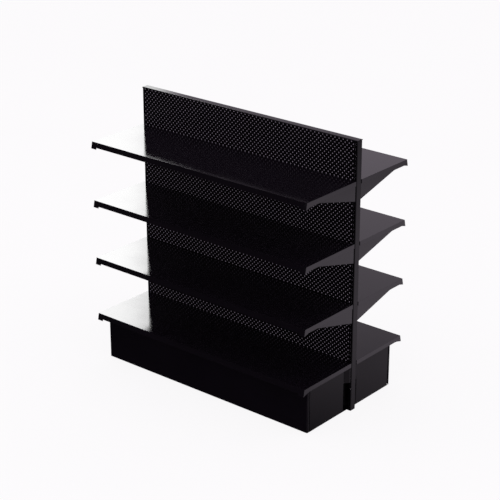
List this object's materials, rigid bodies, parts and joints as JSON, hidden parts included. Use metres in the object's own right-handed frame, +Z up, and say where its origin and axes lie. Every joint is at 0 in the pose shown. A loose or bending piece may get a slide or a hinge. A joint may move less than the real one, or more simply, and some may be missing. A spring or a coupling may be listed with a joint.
{
  "type": "double-sided gondola shelving bay",
  "caption": "Free-standing double-sided shop shelving bay with a perforated back panel, hook-on bracket shelves and a closed base deck on each side.",
  "frame": {"origin": "on the floor, under the middle of the centre panel", "axes": "+X along the bay to the right seen from the front, +Y to the rear side, +Z up"},
  "size_m": [1.195, 0.7006, 1.229],
  "materials": {
    "black_paint_shelf": "gloss black powder coat",
    "black_paint_panel": "satin black powder coat",
    "black_paint_cap": "gloss black powder coat",
    "black_paint_bracket": "satin black powder coat",
    "black_paint_upright": "satin black powder coat",
    "black_paint_frame": "satin black powder coat",
    "grey_backing": "matt grey primer",
    "black_plastic": "fine moulded texture",
    "zinc_steel": "bright zinc plate"
  },
  "bodies": {
    "root": {"upright_left": "black_paint_upright", "upright_right": "black_paint_upright", "upright_glides": "black_plastic", "top_rail": "black_paint_frame", "middle_rail": "black_paint_frame", "bottom_rail": "black_paint_frame", "rail_bolts": "zinc_steel", "rail_nuts": "zinc_steel", "front_perforated_sheet": "black_paint_panel", "rear_perforated_sheet": "black_paint_panel", "front_backing_sheet": "grey_backing", "rear_backing_sheet": "grey_backing", "sheet_screws": "black_plastic", "front_left_leg": "black_paint_bracket", "front_right_leg": "black_paint_bracket", "rear_left_leg": "black_paint_bracket", "rear_right_leg": "black_paint_bracket", "leg_nuts": "zinc_steel", "kick_clips": "zinc_steel"},
    "top_cap": {"top_cap": "black_paint_cap", "cap_plugs": "black_plastic"},
    "front_deck": {"front_deck": "black_paint_shelf", "front_deck_stiffener": "black_paint_frame"},
    "front_kick_plate": {"front_kick_plate": "black_paint_panel"},
    "front_lower_brackets": {"front_lower_bracket_left": "black_paint_bracket", "front_lower_bracket_right": "black_paint_bracket"},
    "front_lower_shelf": {"front_lower_shelf": "black_paint_shelf", "front_lower_stiffener": "black_paint_frame"},
    "front_middle_brackets": {"front_middle_bracket_left": "black_paint_bracket", "front_middle_bracket_right": "black_paint_bracket"},
    "front_middle_shelf": {"front_middle_shelf": "black_paint_shelf", "front_middle_stiffener": "black_paint_frame"},
    "front_upper_brackets": {"front_upper_bracket_left": "black_paint_bracket", "front_upper_bracket_right": "black_paint_bracket"},
    "front_upper_shelf": {"front_upper_shelf": "black_paint_shelf", "front_upper_stiffener": "black_paint_frame"},
    "rear_deck": {"rear_deck": "black_paint_shelf", "rear_deck_stiffener": "black_paint_frame"},
    "rear_kick_plate": {"rear_kick_plate": "black_paint_panel"},
    "rear_lower_brackets": {"rear_lower_bracket_left": "black_paint_bracket", "rear_lower_bracket_right": "black_paint_bracket"},
    "rear_lower_shelf": {"rear_lower_shelf": "black_paint_shelf", "rear_lower_stiffener": "black_paint_frame"},
    "rear_middle_brackets": {"rear_middle_bracket_left": "black_paint_bracket", "rear_middle_bracket_right": "black_paint_bracket"},
    "rear_middle_shelf": {"rear_middle_shelf": "black_paint_shelf", "rear_middle_stiffener": "black_paint_frame"},
    "rear_upper_brackets": {"rear_upper_bracket_left": "black_paint_bracket", "rear_upper_bracket_right": "black_paint_bracket"},
    "rear_upper_shelf": {"rear_upper_shelf": "black_paint_shelf", "rear_upper_stiffener": "black_paint_frame"},
    "front_left_pad": {"front_left_pad": "black_plastic"},
    "front_left_stem": {"front_left_stem": "zinc_steel"},
    "front_right_pad": {"front_right_pad": "black_plastic"},
    "front_right_stem": {"front_right_stem": "zinc_steel"},
    "rear_left_pad": {"rear_left_pad": "black_plastic"},
    "rear_left_stem": {"rear_left_stem": "zinc_steel"},
    "rear_right_pad": {"rear_right_pad": "black_plastic"},
    "rear_right_stem": {"rear_right_stem": "zinc_steel"}
  },
  "joints": [
    {"name": "top_cap_lift", "type": "slide", "parent": "root", "child": "top_cap", "axis": [0, 0, 1], "range_m": [0, 0.04]},
    {"name": "front_deck_lift", "type": "slide", "parent": "root", "child": "front_deck", "axis": [0, 0, 1], "range_m": [0, 0.06]},
    {"name": "front_kick_plate_pull", "type": "slide", "parent": "root", "child": "front_kick_plate", "axis": [0, -1, 0], "range_m": [0, 0.03]},
    {"name": "front_lower_brackets_unhook", "type": "slide", "parent": "root", "child": "front_lower_brackets", "axis": [0, 0, 1], "range_m": [0, 0.01]},
    {"name": "front_lower_shelf_lift", "type": "slide", "parent": "front_lower_brackets", "child": "front_lower_shelf", "axis": [0, 0, 1], "range_m": [0, 0.05]},
    {"name": "front_middle_brackets_unhook", "type": "slide", "parent": "root", "child": "front_middle_brackets", "axis": [0, 0, 1], "range_m": [0, 0.01]},
    {"name": "front_middle_shelf_lift", "type": "slide", "parent": "front_middle_brackets", "child": "front_middle_shelf", "axis": [0, 0, 1], "range_m": [0, 0.05]},
    {"name": "front_upper_brackets_unhook", "type": "slide", "parent": "root", "child": "front_upper_brackets", "axis": [0, 0, 1], "range_m": [0, 0.01]},
    {"name": "front_upper_shelf_lift", "type": "slide", "parent": "front_upper_brackets", "child": "front_upper_shelf", "axis": [0, 0, 1], "range_m": [0, 0.05]},
    {"name": "rear_deck_lift", "type": "slide", "parent": "root", "child": "rear_deck", "axis": [0, 0, 1], "range_m": [0, 0.06]},
    {"name": "rear_kick_plate_pull", "type": "slide", "parent": "root", "child": "rear_kick_plate", "axis": [0, 1, 0], "range_m": [0, 0.03]},
    {"name": "rear_lower_brackets_unhook", "type": "slide", "parent": "root", "child": "rear_lower_brackets", "axis": [0, 0, 1], "range_m": [0, 0.01]},
    {"name": "rear_lower_shelf_lift", "type": "slide", "parent": "rear_lower_brackets", "child": "rear_lower_shelf", "axis": [0, 0, 1], "range_m": [0, 0.05]},
    {"name": "rear_middle_brackets_unhook", "type": "slide", "parent": "root", "child": "rear_middle_brackets", "axis": [0, 0, 1], "range_m": [0, 0.01]},
    {"name": "rear_middle_shelf_lift", "type": "slide", "parent": "rear_middle_brackets", "child": "rear_middle_shelf", "axis": [0, 0, 1], "range_m": [0, 0.05]},
    {"name": "rear_upper_brackets_unhook", "type": "slide", "parent": "root", "child": "rear_upper_brackets", "axis": [0, 0, 1], "range_m": [0, 0.01]},
    {"name": "rear_upper_shelf_lift", "type": "slide", "parent": "rear_upper_brackets", "child": "rear_upper_shelf", "axis": [0, 0, 1], "range_m": [0, 0.05]},
    {"name": "front_left_foot_travel", "type": "slide", "parent": "root", "child": "front_left_pad", "axis": [0, 0, -1], "range_m": [-0.003, 0.012]},
    {"name": "front_left_stem_turn", "type": "hinge", "parent": "front_left_pad", "child": "front_left_stem", "pos_m": [-0.554, -0.2555, 0.04], "axis": [0, 0, -1], "range_deg": [-724, 2884]},
    {"name": "front_right_foot_travel", "type": "slide", "parent": "root", "child": "front_right_pad", "axis": [0, 0, -1], "range_m": [-0.003, 0.012]},
    {"name": "front_right_stem_turn", "type": "hinge", "parent": "front_right_pad", "child": "front_right_stem", "pos_m": [0.554, -0.2555, 0.04], "axis": [0, 0, -1], "range_deg": [-724, 2884]},
    {"name": "rear_left_foot_travel", "type": "slide", "parent": "root", "child": "rear_left_pad", "axis": [0, 0, -1], "range_m": [-0.003, 0.012]},
    {"name": "rear_left_stem_turn", "type": "hinge", "parent": "rear_left_pad", "child": "rear_left_stem", "pos_m": [-0.554, 0.2555, 0.04], "axis": [0, 0, -1], "range_deg": [-724, 2884]},
    {"name": "rear_right_foot_travel", "type": "slide", "parent": "root", "child": "rear_right_pad", "axis": [0, 0, -1], "range_m": [-0.003, 0.012]},
    {"name": "rear_right_stem_turn", "type": "hinge", "parent": "rear_right_pad", "child": "rear_right_stem", "pos_m": [0.554, 0.2555, 0.04], "axis": [0, 0, -1], "range_deg": [-724, 2884]}
  ],
  "couplings": [
    {"joint": "front_left_stem_turn", "follows": "front_left_foot_travel", "rad_per_m": 4188.8},
    {"joint": "front_right_stem_turn", "follows": "front_right_foot_travel", "rad_per_m": 4188.8},
    {"joint": "rear_left_stem_turn", "follows": "rear_left_foot_travel", "rad_per_m": 4188.8},
    {"joint": "rear_right_stem_turn", "follows": "rear_right_foot_travel", "rad_per_m": 4188.8}
  ]
}
